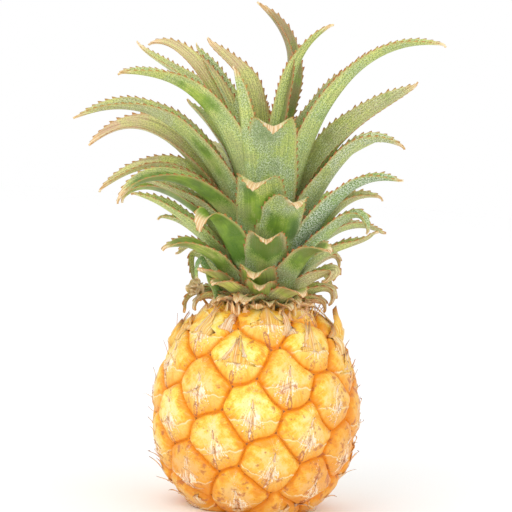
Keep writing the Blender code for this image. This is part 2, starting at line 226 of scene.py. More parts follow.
def rindRelief(share, side, up, eye):
    gap = creaseGap(side, up, eye)
    above = smoothStep(-1.5, 1.0, gap)
    dome = rind["dome"] * (1 - np.minimum(share, 1) ** (2.6 + 3.6 * above))
    groove = -rind["groove"] * smoothStep(rind["grooveFrom"], 1.0, share)
    inside = 1 - smoothStep(0.86, 0.98, share)
    under, over = (np.exp(-(gap / spread) ** 2) for spread in rind["lipSpread"])
    lip = rind["lip"] * np.where(gap < 0, under, -over) * inside
    ridge = rind["fibreRidge"] * smoothStep(-0.8, 1.6, fibreGap(side, up, eye)) * inside
    wave = rind["wave"] * np.sin(side * 0.9 + eye * 1.7) * np.sin(up * 0.8 + eye * 2.3) * inside
    return dome + groove + lip + ridge + wave


def eyePlace(points, eye):
    offset = points - eyes[eye]
    return (offset * eyeSide[eye]).sum(axis=1), (offset * eyeUp[eye]).sum(axis=1)


def rindPoint(points):
    # the finished skin above any places on the barrel
    spot, normal = onBarrel(points)
    eye = eyeOf(spot)
    side, up = eyePlace(spot, eye)
    share = shareOf(spot, eye)
    return spot + normal * rindRelief(share, side, up, eye)[:, None], normal


def rindMesh():
    bm = bmesh.new()
    bmesh.ops.create_icosphere(bm, subdivisions=rind["subdivisions"], radius=1)
    bmesh.ops.translate(bm, vec=(0, 0, barrel["centre"]), verts=bm.verts)
    spot = onBarrel(np.array([v.co for v in bm.verts]))[0]
    share = shareOf(spot, eyeOf(spot))
    near = [e for e in bm.edges if min(share[e.verts[0].index], share[e.verts[1].index]) > rind["fineFrom"]]
    bmesh.ops.subdivide_edges(bm, edges=near, cuts=1, use_grid_fill=True)
    bmesh.ops.triangulate(bm, faces=[f for f in bm.faces if len(f.verts) > 3])
    mesh = bpy.data.meshes.new("rind")
    bm.to_mesh(mesh)
    bm.free()

    points = np.empty(len(mesh.vertices) * 3, np.float32)
    mesh.vertices.foreach_get("co", points)
    spot, normal = onBarrel(points.reshape(-1, 3).astype(float))
    eye = eyeOf(spot)
    side, up = eyePlace(spot, eye)
    share = shareOf(spot, eye)
    shaped = spot + normal * rindRelief(share, side, up, eye)[:, None]

    # each face belongs to one eye, so that nothing is smeared across a groove
    faceCorners = np.empty(len(mesh.loops), np.int32)
    mesh.loops.foreach_get("vertex_index", faceCorners)
    middle = spot[faceCorners].reshape(-1, 3, 3).mean(axis=1)
    faceEye = np.repeat(eyeOf(middle), 3)
    side, up = eyePlace(spot[faceCorners], faceEye)
    seed = eyeSeed[faceEye].T
    down = rind["fibreTop"] + rind["fanAbove"] - up
    fibreMap = mesh.uv_layers.new(name="fibre")
    setAll(fibreMap.data, "uv", [np.arctan2(side, down), np.hypot(side, down)])
    look = mesh.color_attributes.new(name="eyeLook", type="FLOAT_COLOR", domain="CORNER")
    gaps = creaseGap(side, up, faceEye), fibreGap(side, up, faceEye)
    setAll(look.data, "color", [seed[0], share[faceCorners], *gaps])
    marks = mesh.color_attributes.new(name="eyeMarks", type="FLOAT_COLOR", domain="CORNER")
    lean = np.radians(-28 + 46 * seed[1])
    markSide, markUp = side - 1.2 + 2.4 * seed[2], up + rind["scarDrop"]
    markSide, markUp = (markSide * np.cos(lean) + markUp * np.sin(lean),
                        markUp * np.cos(lean) - markSide * np.sin(lean))
    scar = np.hypot(markSide / rind["scarWidth"], markUp / (1.6 + 1.5 * seed[3]))
    low = np.clip((rind["ripeBelow"] - spot[faceCorners][:, 2]) / rind["ripeBelow"], 0, 1)
    sideFrom, sideTo, sideShade = rind["shadedSide"]  # painted shade makes the right side, towards +x, more orange
    low = np.clip(low + sideShade * smoothStep(sideFrom, sideTo, spot[faceCorners][:, 0]), 0, 1)
    setAll(marks.data, "color", [scar, seed[4], low, np.ones(len(scar))])

    # the flat spot below, the recess of the stalk and the dish of the crown
    across = np.hypot(shaped[:, 0], shaped[:, 1])
    shaped[:, 2] = np.maximum(shaped[:, 2], 0)
    below = (shaped[:, 2] < 1) & (across < barrel["stalkRadius"])
    shaped[below, 2] = barrel["stalkDepth"]
    inDish = (across < barrel["dishRadius"]) & (shaped[:, 2] > barrel["centre"])
    shaped[inDish, 2] = np.minimum(shaped[inDish, 2], barrel["dishFloor"])
    setAll(mesh.vertices, "co", (shaped * mm).T)
    mesh.update()
    mesh.shade_smooth()
    return mesh


def rindMaterial():
    # Ripe pineapple rind: waxy, golden domes with a painted highlight over soft orange grooves that carry painted
    # shade, with dried cream fibres.
    # It gives the eye a satin skin that glows where it is thin and goes matt where it is dry.
    made, add = newMaterial("ripe_pineapple_rind")
    look = add("Attribute", attribute_name="eyeLook").outputs
    seed, share, crease = add("SeparateColor", (look["Color"],)).outputs
    fibre = look["Alpha"]
    marks = add("Attribute", attribute_name="eyeMarks").outputs["Color"]
    scar, wear, low = add("SeparateColor", (marks,)).outputs
    place = add("TexCoord").outputs["Object"]

    # fibres fan out from the bract's tip, 0.4 mm apart
    fanned = add("Mapping", {0: add("UVMap", uv_map="fibre"), 3: (13, 0.16, 1)})
    strands = add("TexNoise", {0: fanned, 2: 1.0, 3: 3, 4: 0.6}, noise_dimensions="2D")
    mottle = add("TexNoise", {0: place, 2: 260, 3: 3, 4: 0.55})  # 4 mm patches
    grain = add("TexNoise", {0: place, 2: 1500, 3: 2, 4: 0.5})  # 0.7 mm flecks

    # dome: pale gold in the middle as a painted highlight and saturated towards its edge as painted shade, over
    # blotches of its own colour
    blotchy = add("MapRange", (mottle, 0.3, 0.7, 0.05, 0.95))
    speckled = add("MapRange", (grain, 0.3, 0.7, -0.16, 0.16))
    domeHighlightToShade = add("Math", (share, 2.2), operation="POWER")
    domeTone = add("Math", (blotchy, add("Math", (domeHighlightToShade, speckled))))
    domeTone = add("Math", (domeTone, 0.64), operation="MULTIPLY")
    dome = add("ValToRGB", (domeTone,), stops=(
        (0.32, "#FFEE9C"), (0.52, "#FFE062"), (0.70, "#FCC836"), (0.88, "#F0A41E")))
    rayTone = add("MapRange", (strands, 0.5, 0.72, 0.0, 0.35))

    # foot of the bract: pale below the lip, orange down towards the next eye, partly its own colour and partly
    # painted shade above the next dome
    footTone = add("MapRange", (crease, 0.0, -13.5, 0.0, 0.85))
    footTone = add("Math", (footTone, add("MapRange", (strands, 0.3, 0.7, -0.24, 0.24))))
    foot = add("ValToRGB", (footTone,), stops=(
        (0.05, "#FFDA6C"), (0.30, "#FAC64A"), (0.56, "#F3A936"), (0.85, "#E88A2E")))
    isFoot = add("MapRange", (crease, 0.15, -0.15, 0.0, 1.0))

    # lower and some single eyes are riper, so more orange, and the right side is more orange as painted shade
    ripeAndShade = add("Math", (low, add("MapRange", (seed, 0.5, 1.0, 0.0, 0.5))))
    ripeAndShade = add("Math", (ripeAndShade, 0.64), operation="MULTIPLY")

    # thin wavy lip, broader here and there, and painted shade on the dome just above it
    fromLip = add("Math", (add("Math", (crease, 0.35)),), operation="ABSOLUTE")
    broad = add("MapRange", (mottle, 0.35, 0.65, 0.2, 0.75))
    lip = add("MapRange", (fromLip, broad, 0.05, 0.0, 0.7))
    onDome = add("MapRange", (crease, -0.05, 0.1, 0.0, 1.0))
    shade = add("MapRange", (crease, 1.7, 0.15, 0.0, 0.55))
    shade = add("Math", (shade, onDome), operation="MULTIPLY")

    # painted groove shade, crisp against a dome and soft up the foot of a bract
    fadeFrom = add("MapRange", (crease, 0.4, -8.0, 0.92, 0.64))
    fadeTo = add("MapRange", (crease, 0.4, -5.0, 0.86, 0.62))
    softGrooveShade = add("MapRange", (share, fadeFrom, 0.992, 0.0, fadeTo), interpolation_type="SMOOTHSTEP")
    uneven = add("MapRange", (mottle, 0.36, 0.64, 0.34, 0.82))
    grooveShadeLine = add("MapRange", (share, 0.955, 1.0, 0.0, uneven))
    pit = add("MapRange", (share, 1.008, 1.026, 0.0, 0.9))  # where three eyes meet

    # dried bract: a broken cream flame with a pink heart
    loose = add("MapRange", (strands, 0.3, 0.7, -2.9, 2.6))
    flecks = add("MapRange", (grain, 0.3, 0.7, -3.0, 2.4))
    ragged = add("Math", (add("Math", (fibre, loose)), flecks))
    dried = add("MapRange", (ragged, 0.0, 2.2, 0.0, 0.86))
    inner = add("Math", (1.0, softGrooveShade), operation="SUBTRACT")
    dried = add("Math", (dried, inner), operation="MULTIPLY")
    heart = add("MapRange", (fibre, 0.8, 2.6, 0.04, -0.06))
    cream = add("ValToRGB", (add("Math", (strands, heart)),), stops=(
        (0.32, "#CC8E70"), (0.42, "#E9BCA2"), (0.50, "#FFE8C0"), (0.62, "#FFF6E2")))

    # thin cracks near the flame, and fewer on the foot
    near = add("MapRange", (fibre, -4.0, 0.0, 0.05, 1.0))
    onFoot = add("Math", (isFoot, 0.5), operation="MULTIPLY")
    near = add("Math", (near, onFoot), operation="MAXIMUM")
    crack = add("MapRange", (add("Math", (strands, grain)), 0.86, 0.74, 0.0, 0.8))
    crack = add("Math", (crack, near), operation="MULTIPLY")

    # ring scar on the foot, on most eyes
    ring = add("Math", (scar, 1.0), operation="SUBTRACT")
    ring = add("Math", (ring,), operation="ABSOLUTE")
    ring = add("Math", (ring, add("MapRange", (grain, 0.3, 0.7, -0.25, 0.25))))
    ring = add("MapRange", (ring, 0.42, 0.12, 0.0, 0.8))
    scarred = add("MapRange", (wear, 0.25, 0.35, 0.0, 1.0))
    ring = add("Math", (ring, scarred), operation="MULTIPLY")

    # 4 mm bruises and fine specks
    blot = add("TexNoise", {0: place, 2: 230, 3: 4, 4: 0.65})
    blot = add("Math", (blot, add("MapRange", (low, 0.0, 1.0, 0.0, 0.05))))
    blot = add("MapRange", (blot, 0.60, 0.68, 0.0, 0.8))
    speck = add("MapRange", (grain, 0.70, 0.76, 0.0, 0.7))

    # each tint lies over those before it
    colour = dome
    for mask, tint in ((rayTone, "#FFEBA4"), (isFoot, foot), (ripeAndShade, "#E98820"), (lip, "#FFEFC0"),
                       (shade, "#F8AE2A"), (softGrooveShade, "#F8A624"), (grooveShadeLine, "#EC8E14"), (pit, "#7A4E20"),
                       (dried, cream), (crack, "#C98A58"), (ring, "#B36A48"), (blot, "#C4703C"),
                       (speck, "#B8732A")):
        colour = add("Mix", {0: mask, 6: colour, 7: tint}, data_type="RGBA")
    height = add("Math", (strands, add("Math", (grain, 0.5), operation="MULTIPLY")))
    bump = add("Bump", {"Height": height, "Strength": 0.35, "Distance": 0.0004})
    rough = add("MapRange", (dried, 0.0, 1.0, 0.46, 0.85))
    shader = add("BsdfPrincipled", {
        "Base Color": colour, "Roughness": rough, "Normal": bump, "IOR": 1.42,
        "Subsurface Weight": 0.08, "Subsurface Radius": (0.003, 0.002, 0.0006), "Subsurface Scale": 1.0,
        "Coat Weight": 0.06, "Coat Roughness": 0.35})
    add("OutputMaterial", (shader,))
    return made


addPiece("rind", rindMesh(), "fruit", rindMaterial())


# dried bracts on the eyes, at the neck and at the foot
def driedMaterial():
    # Dried bract fibre: papery, matt strips that split along their fibres.
    # It gives the eye cream and salmon streaks that end in thin brown tips.
    made, add = newMaterial("dried_bract_fibre")
    strip = add("UVMap", uv_map="strip")
    along = add("Attribute", attribute_name="along").outputs["Fac"]
    age = add("Attribute", attribute_name="age").outputs["Fac"]
    fine = add("Mapping", {0: strip, 3: (2.6, 0.12, 1)})  # fibres 0.4 mm apart
    strands = add("TexNoise", {0: fine, 2: 1.0, 3: 3, 4: 0.6}, noise_dimensions="2D")
    fresh = add("ValToRGB", (strands,), stops=(
        (0.30, "#F0A040"), (0.44, "#F9BA4A"), (0.56, "#FDCB5C"), (0.72, "#FFE6A4")))
    dry = add("ValToRGB", (strands,), stops=(
        (0.28, "#B8744C"), (0.40, "#E39C6C"), (0.52, "#F5CE9E"), (0.66, "#FFF3DC")))
    spine = add("Math", (add("SeparateXYZ", (strip,)),), operation="ABSOLUTE")
    spine = add("MapRange", (spine, 1.3, 0.2, 0.0, 0.5))
    spine = add("Math", (spine, age), operation="MAXIMUM")
    tip = add("Math", (along, add("MapRange", (strands, 0.3, 0.7, -0.12, 0.12))))
    brown = add("MapRange", (tip, 0.68, 0.98, 0.0, 0.85))
    colour = add("Mix", {0: spine, 6: fresh, 7: dry}, data_type="RGBA")
    colour = add("Mix", {0: brown, 6: colour, 7: "#864A2A"}, data_type="RGBA")
    bump = add("Bump", {"Height": strands, "Strength": 0.28, "Distance": 0.0004})
    shader = add("BsdfPrincipled", {
        "Base Color": colour, "Roughness": 0.72, "Normal": bump, "IOR": 1.45,
        "Subsurface Weight": 0.15, "Subsurface Radius": (0.003, 0.0015, 0.0006), "Subsurface Scale": 1.0})
    add("OutputMaterial", (shader,))
    return made


def gridMesh(columns, rows):
    # a unit sheet, its columns from -1 to 1 and its rows from 0 to 1, with an upper and a lower side
    bm = bmesh.new()
    bmesh.ops.create_grid(bm, x_segments=columns, y_segments=rows, size=1)
    bmesh.ops.solidify(bm, geom=bm.faces, thickness=0.5)
    bmesh.ops.recalc_face_normals(bm, faces=bm.faces)
    level = max(abs(vert.co.z) for vert in bm.verts)
    for vert in bm.verts:
        vert.co = (vert.co.x, (vert.co.y + 1) / 2, 1 if abs(vert.co.z) > level / 2 else 0)
    return bm, np.array([vert.co for vert in bm.verts])


def shapeSheet(bm, points, strip, values):
    # moves a unit sheet's points to their places, with its map in mm and its values
    layers = [bm.verts.layers.float.new(name) for name in values]
    columns = [np.broadcast_to(value, len(points)) for value in values.values()]
    stripMap = bm.loops.layers.uv.new("strip")
    for vert, point in zip(bm.verts, points * mm):
        vert.co = point
        for layer, column in zip(layers, columns):
            vert[layer] = column[vert.index]
    for face in bm.faces:
        for loop in face.loops:
            loop[stripMap].uv = strip[loop.vert.index]
    return bm


def joinSheets(name, sheets):
    whole, part = bmesh.new(), bpy.data.meshes.new(name + "_part")
    for bm in sheets:
        bm.to_mesh(part)
        bm.free()
        whole.from_mesh(part)
    mesh = bpy.data.meshes.new(name)
    whole.to_mesh(mesh)
    whole.free()
    bpy.data.meshes.remove(part)
    mesh.shade_smooth()
    print("joined", len(sheets), "sheets of", name)
    return mesh


def skinFrame(azimuth, height):
    # the middle, outward, upward and sideward directions of a place on the skin
    turn = math.radians(azimuth)
    radius = np.interp(height, outlineHeights, outlineRadii)
    spot, out = onBarrel(np.array([[radius * math.cos(turn), radius * math.sin(turn), height]]))
    up = np.array([0, 0, 1]) - out[0] * out[0, 2]
    up /= np.linalg.norm(up)
    return spot[0], out[0], up, np.cross(up, out[0])


def bractSheet(place, length, width, dice, lift=1.0, start=0.0, curl=0.0, bulge=0.0, age=1.0, waist=1.0,
               aside=0.0, lean=0.0, cells=(3, 7)):
    # one dried strip that lies on the skin and lifts off it towards its tip
    bm, flat = gridMesh(*cells)
    across, along, side = flat.T
    middle, out, upwards, sideways = place
    half = width / 2 * (1 - along) ** waist * (1 + 0.10 * np.sin(along * 17 + dice.random() * 6)) + 0.09
    half = half * np.where(np.abs(across) > 0.99, 1 + 0.22 * dice.normal(0, 1, len(across)), 1)
    sway = dice.normal(0, 0.06) * length * along ** 2
    onSide = across * half + sway + aside * (1 - along * 0.8) + lean * along
    onUp = start + along * length
    skin, normal = rindPoint(middle + sideways * onSide[:, None] + upwards * onUp[:, None])
    reach = (0.10 + bulge * smoothStep(0, 0.35, along) * (1 - 0.95 * across ** 2) + lift * along ** 2.2
             + 0.25 * (1 - across ** 2) * (1 - along))
    points = skin + normal * (reach + side * -0.2)[:, None] + upwards * (curl * along ** 3)[:, None]
    points[:, 2] = np.maximum(points[:, 2], 0.1)
    strip = np.column_stack([across * half, onUp + dice.random() * 90])
    return shapeSheet(bm, points, strip, {"along": along, "age": age})


driedLook = driedMaterial()
bractDice = np.random.default_rng(21)
eyePlaces = list(zip(eyes, eyeOut, eyeUp, eyeSide))
tips = {"height": (3, 78), "length": (2.5, 4.5), "width": 0.9, "lift": (0.4, 2.6), "past": 1.2, "wisps": 3,
        "wispLength": (1.5, 4), "wispWidth": 0.3, "wispLift": (0.1, 1.0), "wispStart": (-6, 1.5), "wispSide": 6}
sheets = []
for place, seed in zip(eyePlaces, eyeSeed):
    if not tips["height"][0] < place[0][2] < tips["height"][1]:
        continue
    length = bractDice.uniform(*tips["length"])
    sheets.append(bractSheet(place, length, tips["width"], bractDice, lift=bractDice.uniform(*tips["lift"]),
                             start=flameTop(seed[5]) - length + tips["past"], aside=-(seed[2] - 0.5) * 0.5))
    for _ in range(tips["wisps"]):
        aside = bractDice.uniform(-tips["wispSide"], tips["wispSide"])
        length, lift, start = (bractDice.uniform(*tips[key]) for key in ("wispLength", "wispLift", "wispStart"))
        sheets.append(bractSheet(place, length, tips["wispWidth"], bractDice, lift=lift, start=start, aside=aside,
                                 lean=-aside * 0.5))
addPiece("eye_bracts", joinSheets("eye_bracts", sheets), "fruit", driedLook)

# the top eyes end in pointed papery bracts that stand round the crown
neck = {"from": 64, "to": 88, "length": 13, "width": 13, "splitWidths": (1, 0.25, 0.18, 0.12), "lift": 1.2,
        "curl": 3.5, "waist": 1.7, "cells": (6, 12)}
neckDice = np.random.default_rng(5)
sheets = []
for place in eyePlaces:
    height = place[0][2]
    if not neck["from"] < height < neck["to"]:
        continue
    reach = min((height - neck["from"]) / 12, 1)
    for turn, narrow in enumerate(neck["splitWidths"]):  # one broad bract, and the strips that split off it
        length = neck["length"] * (0.65 + 0.35 * reach) * neckDice.uniform(0.8, 1.15) * (1 - 0.1 * turn)
        width = neck["width"] * neckDice.uniform(0.8, 1.1) * narrow
        lift = neck["lift"] * neckDice.uniform(0.3, 2.2)
        age = neckDice.uniform(0.6, 1.0) if turn else neckDice.uniform(0.0, 0.2)
        aside = neckDice.uniform(-5, 5) if turn else 0
        sheets.append(bractSheet(place, length, width, neckDice, lift=lift, start=rind["creaseHeight"] - 0.3 + turn,
                                 curl=neck["curl"] * reach, age=age, waist=neck["waist"], aside=aside,
                                 lean=neckDice.uniform(-1.2, 1.2), cells=neck["cells"]))

# azimuth, height, length, width, lift, bulge and age of the big flaps on the shoulders
flaps = ((181, 66, 15, 20, 0.3, 1.4, 0.0), (-166, 72, 13, 10, 1.4, 0.9, 0.3), (-8, 73, 15, 20, 5.5, 2.4, 0.0),
         (-20, 70, 13, 10, 2.0, 1.4, 0.5), (12, 66, 13, 10, 2.0, 1.0, 0.6), (-118, 79, 12, 5, 1.2, 0.6, 0.9),
         (-66, 79, 12, 6, 1.6, 0.6, 0.8), (95, 74, 14, 10, 2.4, 1.2, 0.4), (60, 76, 13, 8, 2.0, 1.0, 0.6))
for azimuth, height, length, width, lift, bulge, age in flaps:
    sheets.append(bractSheet(skinFrame(azimuth, height), length, width, neckDice, lift=lift, bulge=bulge, age=age,
                             waist=0.8, cells=(8, 14)))
addPiece("neck_bracts", joinSheets("neck_bracts", sheets), "fruit", driedLook)

# azimuth, height, length, width, lift and curl of the stray spines and shreds at the fruit's sides
strays = ((180, 72, 7, 1.2, 4.5, 1.5), (182, 53, 4, 1.6, 2.6, 1.0), (179, 43, 6, 0.4, 5.5, -3),
          (184, 66, 4, 0.5, 3.0, 0), (177, 63, 5, 0.5, 3.4, 1), (186, 36, 5, 0.5, 3.0, 1),
          (-2, 66, 7, 1.6, 4.2, 2.0), (-4, 61, 5, 3.0, 2.6, 1.0), (1, 45, 7, 0.5, 4.0, -2),
          (-8, 57, 5, 2.0, 2.4, 1.0), (3, 36, 5, 1.4, 2.6, 0), (-1, 51, 4, 1.2, 2.8, 1),
          (183, 14, 9, 5.0, 5.5, -1), (188, 9, 9, 4.2, 5.0, -2), (176, 22, 6, 3.2, 3.5, 0),
          (-3, 22, 9, 6.5, 5.0, -2), (-8, 16, 8, 5.0, 4.5, -2), (-20, 8, 8, 5.0, 4.5, -3),
          (4, 28, 6, 3.4, 3.0, 0), (-45, 5, 7, 4.4, 3.5, -2), (-60, 4, 7, 5.0, 3.0, -2),
          (-100, 4, 6, 4.4, 2.4, -2), (-135, 5, 8, 5.0, 3.4, -2), (-160, 6, 8, 4.6, 4.0, -2),
          (-170, 18, 7, 3.6, 3.6, 0), (-12, 26, 7, 3.6, 3.0, 0), (178, 31, 6, 2.4, 3.2, 0),
          (90, 8, 8, 4.6, 4.0, -2), (130, 14, 8, 4.0, 4.0, -1), (50, 12, 8, 4.4, 4.0, -1))
strayDice = np.random.default_rng(31)
sheets = [bractSheet(skinFrame(azimuth, height), length, width, strayDice, lift=lift, curl=curl,
                     age=strayDice.uniform(0.6, 1.0), cells=(3, 9))
          for azimuth, height, length, width, lift, curl in strays]
addPiece("stray_shreds", joinSheets("stray_shreds", sheets), "fruit", driedLook)

# a collar of small dried scales stands between the fruit and the crown's lowest leaves
collar = {"count": 130, "radius": (17.0, 24.5), "height": (87.6, 84.8), "length": (4.5, 10), "width": (1.8, 5.5),
          "lean": (-30, 45), "bend": (-60, 60)}


def collarSheet(index, dice):
    bm, flat = gridMesh(3, 7)
    across, along, side = flat.T
    turn = 2 * math.pi * (index * goldenShare % 1)
    length, width = dice.uniform(*collar["length"]), dice.uniform(*collar["width"])
    frayed = 1 + 0.2 * dice.normal(0, 1, len(across)) * (np.abs(across) > 0.99)
    half = width / 2 * (1 - along) ** 1.2 * frayed + 0.08
    lean, bend = math.radians(dice.uniform(*collar["lean"])), math.radians(dice.uniform(*collar["bend"]))
    tilt = lean + bend * along ** 2
    foot = dice.random()
    out = np.sin(lean) * along + (np.sin(tilt) - np.sin(lean)) * along / 3
    out = np.interp(foot, (0, 1), collar["radius"]) + length * out + side * 0.2 - 0.3 * across ** 2
    up = np.interp(foot, (0, 1), collar["height"]) + length * along * np.cos(lean + (tilt - lean) / 3)
    around = across * half + dice.normal(0, 0.8) * along
    radial, flank = np.array([math.cos(turn), math.sin(turn), 0]), np.array([-math.sin(turn), math.cos(turn), 0])
    points = radial * out[:, None] + flank * around[:, None] + np.array([0, 0, 1]) * up[:, None]
    strip = np.column_stack([around, along * length + index * 5.1])
    return shapeSheet(bm, points, strip, {"along": along, "age": dice.uniform(0.0, 1.0)})


collarDice = np.random.default_rng(11)
sheets = [collarSheet(index, collarDice) for index in range(collar["count"])]
addPiece("neck_collar", joinSheets("neck_collar", sheets), "fruit", driedLook)


# the crown's leaves: azimuth, root height, slope, pull, reach, tip height, tip slope, tip pull, width, fold,
# taper, roll
leaves = {
    "top_brown": (175, 138, 100, 45, 10, 221, 35, 35, 20, 34, 2.6, 20),
    "top_right": (-25, 134, 92, 50, 24, 212, 30, 20, 20, 32, 2.0, -10),
    "top_pink": (160, 134, 84, 58, 31, 202, 38, 25, 20, 32, 2.2, 30),
    "top_front": (-125, 118, 72, 35, 30, 190, 60, 20, 19, 34, 2.0, 10),
    "thin_left": (150, 130, 76, 40, 40, 199, 45, 20, 17, 36, 2.2, 25),
    "yellow": (158, 132, 70, 48, 60, 201, -15, 18, 20, 36, 2.2, 30),
    "back_thin": (140, 134, 72, 55, 84, 202, 55, 12, 18, 40, 1.8, 10),
    "big_left": (-155, 120, 78, 50, 71, 187, -8, 35, 25, 36, 2.4, 8),
    "long_left": (-172, 116, 66, 58, 87, 166, -30, 36, 25, 40, 2.0, 15),
    "pink_left": (170, 116, 56, 50, 82, 154, -46, 35, 24, 36, 2.2, 40),
    "small_back": (150, 116, 52, 25, 62, 148, -10, 20, 12, 36, 2.0, 20),
    "mid_a": (176, 114, 58, 47, 73.5, 136, -42, 30, 20, 36, 2.0, 20),
    "mid_b": (-160, 108, 72, 40, 68, 133, -60, 23, 22, 38, 2.2, 15),
    "mid_c": (172, 104, 56, 30, 64, 133, -50, 18, 17, 36, 2.0, 15),
    "mid_d": (-178, 106, 62, 28, 56, 141, 5, 18, 16, 38, 2.0, 15),
    "mid_e": (-172, 98, 50, 24, 58, 135, 10, 20, 17, 40, 2.0, 20),
    "mid_f": (172, 98, 42, 18, 46, 125, 0, 14, 14, 38, 2.0, 15),
    "front_left": (-130, 98, 52, 28, 44, 124, -75, 15, 21, 30, 3.2, 10),
    "low_left": (-155, 92, 55, 20, 46, 114, -18, 16, 18, 36, 2.4, 15),
    "curled_left": (178, 92, 45, 30, 30, 98, -110, 20, 12, 36, 2.2, 0),
    "long_right": (-15, 116, 84, 66, 72, 207, -6, 34, 23, 44, 1.6, -12),
    "broad_right": (8, 118, 70, 52, 61, 188, 32, 28, 24, 30, 2.2, -35),
    "mid_right": (-8, 112, 64, 46, 56, 163, -24, 22, 24, 40, 2.0, -8),
    "dark_right": (-22, 100, 62, 42, 59, 148, -10, 22, 21, 40, 2.0, -10),
    "pinkish_right": (-10, 100, 55, 26, 48, 140, -10, 18, 17, 38, 2.0, -18),
    "curl_right": (-20, 96, 58, 25, 46, 127, -70, 17, 18, 38, 2.2, -12),
    "dry_right": (-5, 96, 56, 28, 46, 123, 45, 8, 14, 38, 2.0, -10),
    "hook_right_a": (5, 95, 45, 16, 33, 109, -80, 10, 12, 38, 2.2, -10),
    "hook_right_b": (-28, 92, 46, 20, 31, 103, -140, 14, 18, 34, 2.0, -15),
    "hook_right_c": (-8, 90, 38, 12, 31, 94, -95, 9, 13, 38, 2.2, -10),
    "hook_right_d": (-12, 89, 30, 8, 28, 91, -70, 6, 12, 34, 2.2, 0),
    "centre": (-90, 102, 86, 50, 44, 165, -32, 30, 27, 30, 5.0, 0),
    "centre_left": (-100, 100, 74, 34, 41, 140.5, -45, 20, 26, 28, 5.0, 0),
    "centre_right": (-72, 98, 68, 26, 40, 134, -42, 18, 23, 29, 5.0, 0),
    "front_mid": (-90, 92, 60, 20, 40, 118.5, -45, 14, 22, 31, 5.0, 0),
    "front_right": (-50, 92, 50, 24, 41, 117, -10, 14, 20, 34, 3.0, -10),
    "front_low": (-97, 90, 50, 15, 36, 103, -50, 12, 18, 30, 5.0, 0),
    "front_base": (-93, 89, 42, 12, 33, 98, -60, 8, 16, 28, 4.0, 0),
    "low_front_left": (-150, 90, 42, 12, 31, 104, 5, 8, 15, 30, 3.0, 0),
    "base_front_left": (-128, 89, 36, 12, 33, 100, 0, 8, 15, 28, 3.0, 0),
    "base_front_right": (-60, 89, 34, 10, 32, 98, -10, 8, 18, 26, 3.0, 0),
    "base_front": (-104, 88.5, 30, 8, 30, 93, -30, 8, 13, 26, 3.0, 0),
    "curl_left": (178, 90, 38, 14, 34, 86, -100, 9, 12, 34, 2.2, 0),
    "curl_left_b": (-166, 89, 32, 10, 30, 89, -70, 7, 12, 30, 2.2, 0),
}
# leaves by rule: at the back, long and steep above and short and hooked below, and a dry ring that hides the
# foot of the stem
backLeaves = {"count": 20, "from": 22, "spread": 136, "root": 128, "rootDrop": 38.5, "slope": 82, "slopeDrop": 44,
              "pull": 0.45, "reach": 36, "swell": 112, "tip": 196, "tipDrop": 101, "tipSlope": 45, "tipTurn": 105,
              "tipPull": 0.3, "width": 21, "fold": 36, "taper": 2.2}
ringLeaves = {"count": 22, "root": 88, "rootRise": (0, 1.5), "slope": 32, "pull": 5, "reach": (22, 27),
              "tip": (90, 94.5), "tipSlope": (-50, 10), "tipPull": 4, "width": (10, 14), "fold": 24, "taper": 2.4}
blade = {
    "stem": ((85.9, 15.3), (92, 14.5), (102, 11.5), (116, 9), (132, 6.5), (146, 3)), "stemTop": 150,
    "rootDepth": 0.55, "rootWidth": 0.62, "keel": 1.5, "margin": 0.45, "tipHalf": 0.20, "tooth": 0.22,
    "toothPitch": 3.0, "toothHeight": 1.15, "saw": (0, 0.15, 0.7, 1, 0.1), "toothed": (0.10, 0.985),
    "columns": 14, "threadReach": 80, "threadTip": 215, "notchTaper": 4,
}


def neckLeaves():
    made = {}
    dice = np.random.default_rng(17)
    for index in range(ringLeaves["count"]):
        azimuth = -180 + 360 * (index * goldenShare % 1)
        root = ringLeaves["root"] + dice.uniform(*ringLeaves["rootRise"])
        drawn = [dice.uniform(*ringLeaves[key]) for key in ("reach", "tip", "tipSlope", "width")]
        reach, tip, tipSlope, width = drawn
        made[f"ring_{index}"] = (azimuth, root, ringLeaves["slope"], ringLeaves["pull"], reach, tip, tipSlope,
                                 ringLeaves["tipPull"], width, ringLeaves["fold"], ringLeaves["taper"], 0)
    return made


def stemRadius(height):
    heights, radii = zip(*blade["stem"])
    return float(np.interp(height, heights, radii))


def hiddenLeaves():
    made, rule = {}, backLeaves
    for index in range(rule["count"]):
        drop = index / (rule["count"] - 1)
        root = rule["root"] - rule["rootDrop"] * drop ** 0.7
        reach = rule["reach"] - 4 * drop + rule["swell"] * drop * (1 - drop)
        tip = rule["tip"] - rule["tipDrop"] * drop ** 0.85
        chord = math.hypot(reach, tip - root)
        azimuth = rule["from"] + rule["spread"] * (index * goldenShare % 1)
        slope, tipSlope = rule["slope"] - rule["slopeDrop"] * drop, rule["tipSlope"] - rule["tipTurn"] * drop
        made[f"back_{index}"] = (azimuth, root, slope, rule["pull"] * chord, reach, tip, tipSlope,
                                 rule["tipPull"] * chord, rule["width"] - 8 * drop ** 2, rule["fold"] - 6 * drop,
                                 rule["taper"], 0)
    return made


